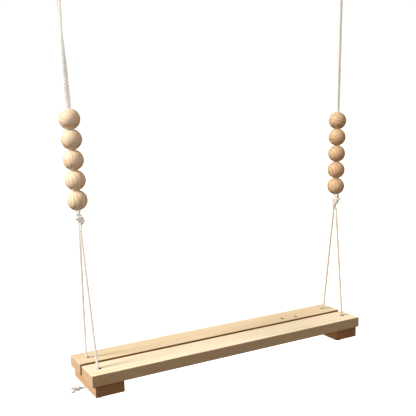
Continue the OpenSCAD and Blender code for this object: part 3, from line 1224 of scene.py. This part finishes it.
def windSeizing():
    # twine wound tight round both parts of the rope, then twice between them
    twine, reach, half = 0.0013, rope["diameter"] / 2 + 0.0005, 0.0043
    turns, low, high = 15, -0.0500, -0.0302
    around, wind = [], []
    straight, bow = 2 * half, math.pi * reach
    whole = 2 * (straight + bow)
    steps = int(turns * whole / 0.0012)
    for i in range(steps + 1):
        along = (i / steps * turns * whole) % whole
        z = low + (high - low) * i / steps
        if along < straight:
            x, y = -half + along, -reach
        elif along < straight + bow:
            a = (along - straight) / reach
            x, y = half + reach * math.sin(a), -reach * math.cos(a)
        elif along < 2 * straight + bow:
            x, y = half - (along - straight - bow), reach
        else:
            a = (along - 2 * straight - bow) / reach
            x, y = -half - reach * math.sin(a), reach * math.cos(a)
        wind.append((x, y, z))
    skins = []
    middle, tall = (low + high) / 2, (high - low) / 2
    frap = []
    for i in range(2 * 56 + 1):
        a = 2 * math.pi * i / 56
        y = (reach + 0.0014) * np.sign(math.sin(a)) * abs(math.sin(a)) ** 0.35
        z = middle + (tall + 0.0012) * np.sign(math.cos(a)) * abs(math.cos(a)) ** 0.6
        frap.append((-0.0008 + 0.0016 * i / 112, y, z))
    for points in (wind, frap):
        line = softened(points, 0.0011, 0.0006)
        heads, sideA, sideB = framesAlong(line, (0, 0.2, 1))
        lengths = np.concatenate([[0], np.cumsum(np.linalg.norm(np.diff(line, axis=0), axis=1))])
        skins.append(skinAlong(line, sideA, sideB, roundOutline(twine / 2, 8), lengths * 0, lengths))
    return joinSkins("seizing", skins)


patterns = {"Eye": (makeEye(), "eye", "ceiling_fittings", "steel"),
            "CeilingPlate": (makePlate(), "ceiling_plate", "ceiling_fittings", "steel"),
            "Link": (makeLink(), "link", "hanging_ropes", "steel"),
            "LinkNut": (makeNut(), "link_nut", "hanging_ropes", "steel"),
            "Thimble": (makeThimble(), "thimble", "hanging_ropes", "steel"),
            "Seizing": (windSeizing(), "seizing", "hanging_ropes", "twine")}
twineMaterial = ropeMaterial("seizingTwine", (0.80, 0.76, 0.66), (0.62, 0.57, 0.48))
for what, (pattern, node, body, slot) in patterns.items():
    for side, sign in sides.items():
        made = ownCopy(pattern, side + what)
        if body == "ceiling_fittings":
            place(made, Matrix.Translation((sign * swing["hangerX"], 0, 0)))
        else:
            place(made, onRope(side, swing["thimbleDrop"] if what in ("Thimble", "Seizing") else 0))
        dress(made, twineMaterial if what == "Seizing" else zinc)
        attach(made, body)
        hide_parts(side + "_" + node)
    bpy.data.objects.remove(pattern, do_unlink=True)
print("fittings made")


# Wood screws, seen from below in their countersinks

def makeScrew():
    deselectAll()
    bpy.ops.mesh.primitive_cone_add(vertices=40, radius1=screw["head"] / 2, radius2=screw["shank"] / 2,
                                    depth=screw["deep"], location=(0, 0, screw["deep"] / 2 + screw["sunk"]))
    made = bpy.context.object
    bpy.ops.object.transform_apply(location=True)
    editMode(made)
    selectWhere(made, "polygons", lambda middle, way: way.z > 0.9)
    for rise in (screw["long"] - screw["deep"] - 0.012, 0.011):
        bpy.ops.mesh.extrude_region_move(TRANSFORM_OT_translate={"value": (0, 0, rise)})
    bpy.ops.transform.resize(value=(0.12, 0.12, 1))
    bpy.ops.object.mode_set(mode="OBJECT")
    for turn in (0, 90):
        deselectAll()
        bpy.ops.mesh.primitive_cube_add(
            size=1, location=(0, 0, screw["sunk"] + 0.0006), rotation=(0, 0, math.radians(turn)),
            scale=(0.0054, screw["recess"], 0.0032))
        cutWith(made, bpy.context.object)
    smooth(made, 30)
    return made


screwPattern = makeScrew()
screwZinc = steelMaterial("screwZinc", (0.70, 0.62, 0.42), 0.36)
for side, sign in sides.items():
    low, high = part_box(side + "_batten")
    copies = []
    for (x, y), angle in zip(screwPlaces(sign), (-48, -14, 14, 48)):
        made = ownCopy(screwPattern, "screw")
        turn = Matrix.Rotation(math.radians(angle + 50 * sign), 4, "Z")
        place(made, Matrix.Translation((x, y, low.z)) @ turn)
        copies.append(made)
    set4 = joined(side + "BattenScrews", copies)
    dress(set4, screwZinc)
    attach(set4, "seat")
    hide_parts(side + "_batten_screws")
bpy.data.objects.remove(screwPattern, do_unlink=True)
print("screws driven")


# Studio

studio = {
    "floor": -1.80,
    "floorColor": (0.90, 0.90, 0.90),
    "floorGlow": 0.62,
    "roomLight": 0.50,
    "keyPower": 4.3,
    "keyAngle": 14,
    "lowPower": 1.0,
    "ropePower": 1.6,
    "beadPower": 0.8,
}
deselectAll()
bpy.ops.mesh.primitive_plane_add(size=80, location=(0, 0, studio["floor"]))
floor = bpy.context.object
floor.name = "floor"
floor.visible_diffuse = False
floor.visible_glossy = False
floorMaterial, tree, shader = newMaterial("paleFloor", 0.9)
shader.inputs["Base Color"].default_value = (*studio["floorColor"], 1)
shader.inputs["Emission Color"].default_value = (1, 1, 1, 1)
shader.inputs["Emission Strength"].default_value = studio["floorGlow"]
dress(floor, floorMaterial)

# the view sees white, and the swing is lit by a room that is warm and dark below, pale above
world = bpy.data.worlds.new("studio")
scene.world = world
world.use_nodes = True
tree = world.node_tree
background = tree.nodes["Background"]
white = tree.nodes.new("ShaderNodeBackground")
white.inputs[0].default_value = (1, 1, 1, 1)
white.inputs[1].default_value = 1.05
ray = tree.nodes.new("ShaderNodeLightPath")
choose = tree.nodes.new("ShaderNodeMixShader")
tree.links.new(ray.outputs["Is Camera Ray"], choose.inputs[0])
tree.links.new(background.outputs[0], choose.inputs[1])
tree.links.new(white.outputs[0], choose.inputs[2])
tree.links.new(choose.outputs[0], tree.nodes["World Output"].inputs[0])
sky = tree.nodes.new("ShaderNodeTexCoord")
height = tree.nodes.new("ShaderNodeSeparateXYZ")
tree.links.new(sky.outputs["Generated"], height.inputs[0])
shade = rampNode(tree, [(0.0, (0.11, 0.05, 0.019)), (0.46, (0.22, 0.105, 0.038)),
                        (0.60, (0.42, 0.24, 0.105)), (0.85, (1.0, 0.92, 0.77))])
level = plus(tree, times(tree, height.outputs[2], 0.5), 0.5)
tree.links.new(level, shade.inputs[0])
tree.links.new(shade.outputs[0], background.inputs[0])
background.inputs[1].default_value = studio["roomLight"]
scene.view_settings.view_transform = "Standard"


def distantLight(name, way, power, angle, color, only=None):
    # way is the direction the light travels in; only limits it to some pieces, without shadows
    data = bpy.data.lights.new(name, "SUN")
    data.energy = power
    data.angle = math.radians(angle)
    data.color = color
    data.use_shadow = only is None
    lamp = bpy.data.objects.new(name, data)
    scene.collection.objects.link(lamp)
    lamp.rotation_mode = "QUATERNION"
    lamp.rotation_quaternion = Vector(way).to_track_quat("-Z", "Y")
    if only:
        lit = bpy.data.collections.new(name + "Pieces")
        for piece in only:
            lit.objects.link(piece)
        lamp.light_linking.receiver_collection = lit


distantLight("keyLight", (0.79, -0.03, -0.61), studio["keyPower"], studio["keyAngle"], (1, 0.97, 0.91))
distantLight("lowLight", (0.85, 0.06, 0.42), studio["lowPower"], 40, (1, 0.86, 0.66))
ropePieces = [p for p in bpy.data.objects if p.type == "MESH" and ropeWhite.name in p.data.materials]
beadPieces = [p for p in bpy.data.objects if "Bead" in p.name]
distantLight("ropeLight", (0.05, 0.99, -0.12), studio["ropePower"], 60, (0.93, 0.97, 1), ropePieces)
distantLight("beadLight", (0.05, 0.99, -0.12), studio["beadPower"], 60, (1, 0.96, 0.95), beadPieces)
print("studio lit")
